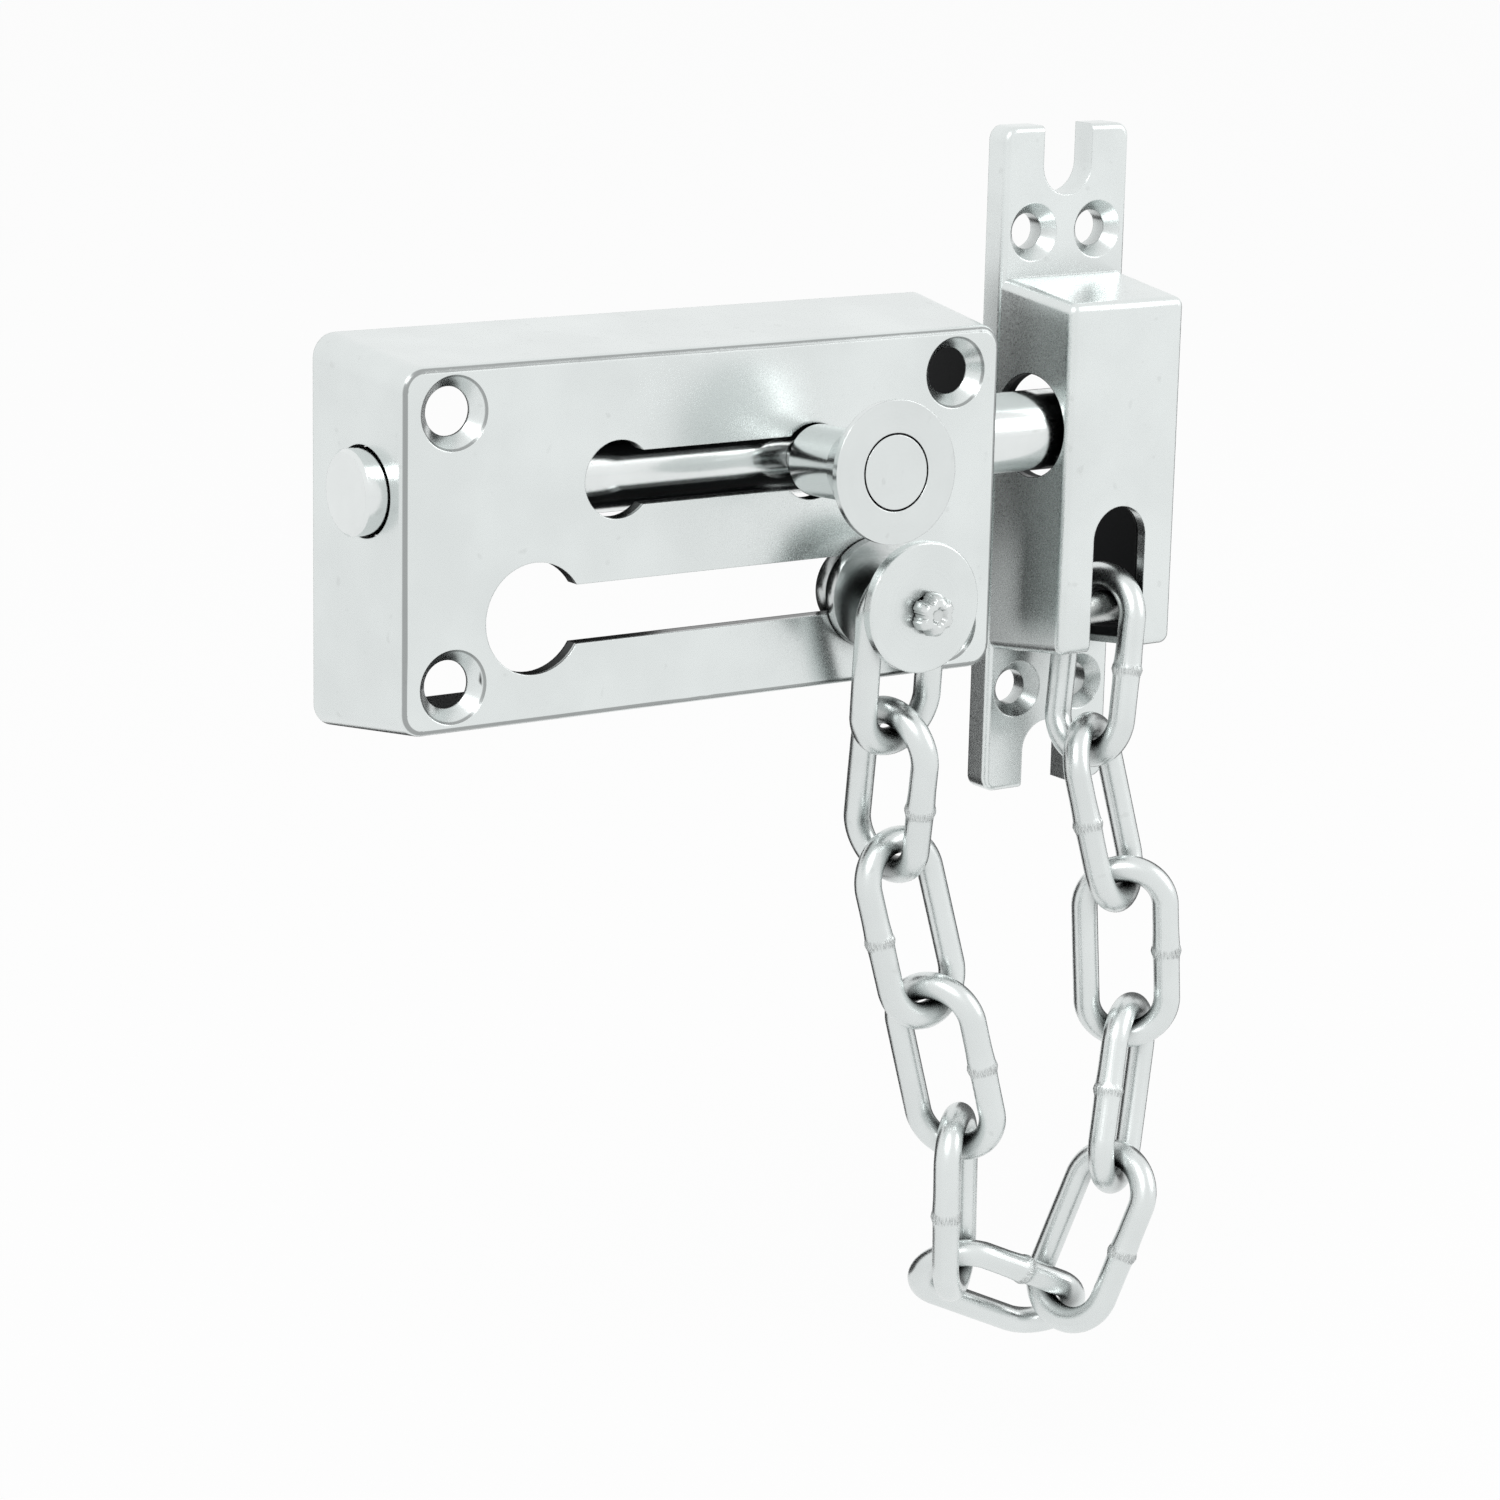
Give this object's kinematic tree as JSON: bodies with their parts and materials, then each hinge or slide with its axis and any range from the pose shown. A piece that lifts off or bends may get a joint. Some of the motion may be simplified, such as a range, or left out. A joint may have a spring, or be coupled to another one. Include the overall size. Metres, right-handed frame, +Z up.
{
  "type": "door chain with slide bolt",
  "caption": "Door chain with slide bolt: open-backed case with keyhole slot and sprung knob, round bolt, boxed keeper and a hanging chain of welded oval links.",
  "frame": {"origin": "centre of the case's open back, on the door face", "axes": "+X along the bolt towards the keeper, +Y into the door, +Z up"},
  "size_m": [0.1444, 0.043, 0.1937],
  "materials": {
    "case_plating": "satin nickel plate on a casting",
    "keeper_plating": "satin nickel plate on a casting",
    "bolt_plating": "bright plated round bar",
    "knob_plating": "bright plated turning",
    "stem_plating": "bright plated turning",
    "spring_steel": "drawn spring wire",
    "button_plating": "plated turning, peened end",
    "washer_plating": "plated washer, machined face",
    "pin_steel": "plain steel pin",
    "chain_plating": "plated welded wire links"
  },
  "bodies": {
    "mounted": {"lock_case": "case_plating", "keeper": "keeper_plating", "anchor_pin": "pin_steel"},
    "bolt": {"bolt": "bolt_plating", "knob_stem": "stem_plating", "knob_spring": "spring_steel"},
    "knob": {"knob_sleeve": "knob_plating"},
    "button": {"chain_button": "button_plating", "button_washer": "washer_plating"},
    "link_01": {"chain_link_01": "chain_plating"},
    "link_02": {"chain_link_02": "chain_plating"},
    "link_03": {"chain_link_03": "chain_plating"},
    "link_04": {"chain_link_04": "chain_plating"},
    "link_05": {"chain_link_05": "chain_plating"},
    "link_06": {"chain_link_06": "chain_plating"},
    "link_07": {"chain_link_07": "chain_plating"},
    "link_08": {"chain_link_08": "chain_plating"},
    "link_09": {"chain_link_09": "chain_plating"},
    "link_10": {"chain_link_10": "chain_plating"},
    "link_11": {"chain_link_11": "chain_plating"}
  },
  "joints": [
    {"name": "bolt_slide", "type": "slide", "parent": "mounted", "child": "bolt", "axis": [1, 0, 0], "range_m": [-0.0335, 0]},
    {"name": "knob_lock", "type": "slide", "parent": "bolt", "child": "knob", "axis": [0, 0.998, -0.0628], "range_m": [0, 0.0024], "stiffness_N_per_m": 400, "springref_m": 0.006, "deforming": ["knob_spring"]},
    {"name": "button_slide", "type": "slide", "parent": "mounted", "child": "button", "axis": [1, 0, 0], "range_m": [-0.0585, 0]},
    {"name": "link_01_swing", "type": "hinge", "parent": "button", "child": "link_01", "pos_m": [0.0288, -0.0292, -0.01255], "axis": [0, 1, 0], "range_deg": [-8.69, 0]},
    {"name": "link_02_swing", "type": "hinge", "parent": "link_01", "child": "link_02", "pos_m": [0.03149, -0.02459, -0.03078], "axis": [0, 1, 0], "range_deg": [-1.95, 0]},
    {"name": "link_03_swing", "type": "hinge", "parent": "link_02", "child": "link_03", "pos_m": [0.03712, -0.01848, -0.05721], "axis": [0, 1, 0], "range_deg": [-2.21, 0]},
    {"name": "link_04_swing", "type": "hinge", "parent": "link_03", "child": "link_04", "pos_m": [0.04036, -0.02079, -0.07578], "axis": [0, 1, 0], "range_deg": [-4.36, 0]},
    {"name": "link_05_swing", "type": "hinge", "parent": "link_04", "child": "link_05", "pos_m": [0.04841, -0.02087, -0.10295], "axis": [0, 1, 0], "range_deg": [-7.48, 0]},
    {"name": "link_06_swing", "type": "hinge", "parent": "link_05", "child": "link_06", "pos_m": [0.05172, -0.01954, -0.12113], "axis": [0, 1, 0], "range_deg": [0, 13.01]},
    {"name": "link_11_swing", "type": "hinge", "parent": "mounted", "child": "link_11", "pos_m": [0.0772, -0.0158, -0.0205], "axis": [0, 1, 0], "range_deg": [0, 2.57]},
    {"name": "link_10_swing", "type": "hinge", "parent": "link_11", "child": "link_10", "pos_m": [0.0748, -0.01881, -0.0433], "axis": [0, 1, 0], "range_deg": [0, 9.34]},
    {"name": "link_09_swing", "type": "hinge", "parent": "link_10", "child": "link_09", "pos_m": [0.07956, -0.02166, -0.06091], "axis": [0, 1, 0], "range_deg": [0, 5.09]},
    {"name": "link_08_swing", "type": "hinge", "parent": "link_09", "child": "link_08", "pos_m": [0.0841, -0.02149, -0.0897], "axis": [0, 1, 0], "range_deg": [0, 5.66]},
    {"name": "link_07_swing", "type": "hinge", "parent": "link_08", "child": "link_07", "pos_m": [0.07768, -0.0247, -0.10794], "axis": [0, 1, 0], "range_deg": [0, 14.16]}
  ],
  "couplings": [
    {"joint": "link_01_swing", "follows": "button_slide", "rad_per_m": 2.5788},
    {"joint": "link_02_swing", "follows": "button_slide", "rad_per_m": 0.56733},
    {"joint": "link_03_swing", "follows": "button_slide", "rad_per_m": 0.64475},
    {"joint": "link_04_swing", "follows": "button_slide", "rad_per_m": 1.2867},
    {"joint": "link_05_swing", "follows": "button_slide", "rad_per_m": 2.2155},
    {"joint": "link_06_swing", "follows": "button_slide", "rad_per_m": -3.868},
    {"joint": "link_11_swing", "follows": "button_slide", "rad_per_m": -0.75187},
    {"joint": "link_10_swing", "follows": "button_slide", "rad_per_m": -2.7716},
    {"joint": "link_09_swing", "follows": "button_slide", "rad_per_m": -1.5038},
    {"joint": "link_08_swing", "follows": "button_slide", "rad_per_m": -1.6734},
    {"joint": "link_07_swing", "follows": "button_slide", "rad_per_m": -4.2109}
  ]
}
